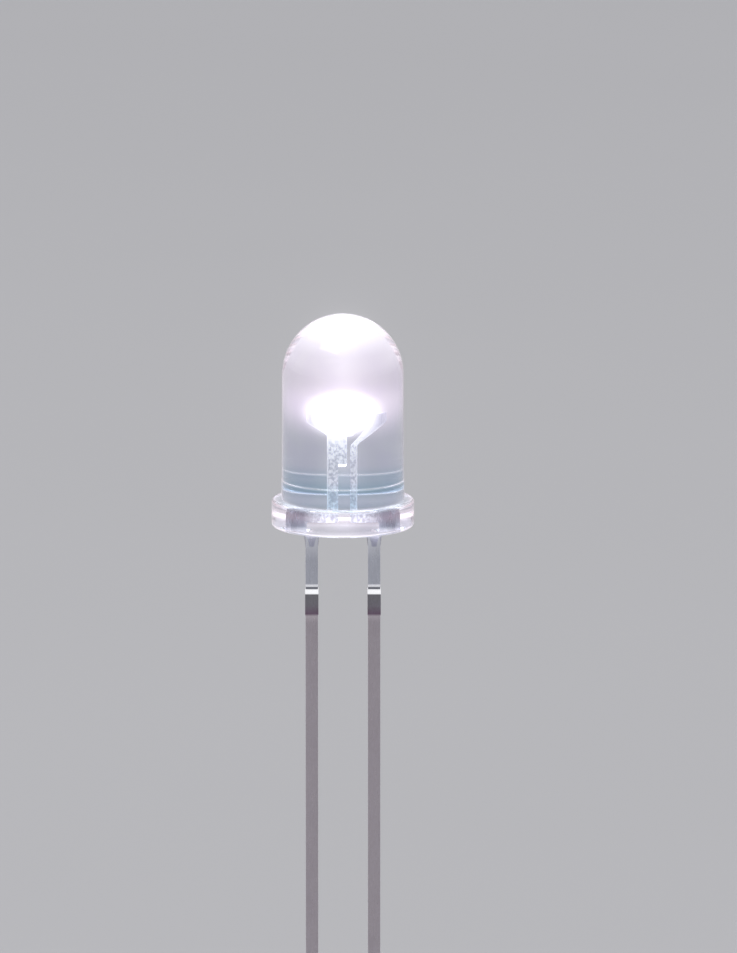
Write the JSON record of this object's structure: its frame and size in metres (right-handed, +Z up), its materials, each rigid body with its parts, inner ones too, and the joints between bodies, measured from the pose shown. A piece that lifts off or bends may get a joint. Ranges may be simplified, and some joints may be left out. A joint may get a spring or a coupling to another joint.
{
  "type": "through hole led",
  "caption": "Clear domed round lamp with a flange; a stamped lead frame holds a light-emitting chip in a reflector cup and ends in straight solder leads.",
  "frame": {"origin": "on the seating plane (underside of the flange), on the lens axis, midway between the two leads", "axes": "+Z up the optical axis to the dome, leads down -Z, cathode lead at -X and anode lead at +X"},
  "size_m": [0.0058, 0.0058, 0.0356],
  "materials": {
    "clear_resin": "clear cast epoxy, glossy",
    "tinned_steel": "stamped steel with bright tin plating",
    "adhesive": "cured die adhesive",
    "chip": "polished crystal",
    "phosphor_resin": "phosphor powder in resin, glowing white when lit",
    "gold": "drawn gold wire"
  },
  "bodies": {
    "root": {"lens": "clear_resin", "cathode_lead": "tinned_steel", "anode_lead": "tinned_steel", "die_attach": "adhesive", "die": "chip", "phosphor": "phosphor_resin", "anode_wire": "gold", "cathode_wire": "gold"}
  },
  "joints": []
}
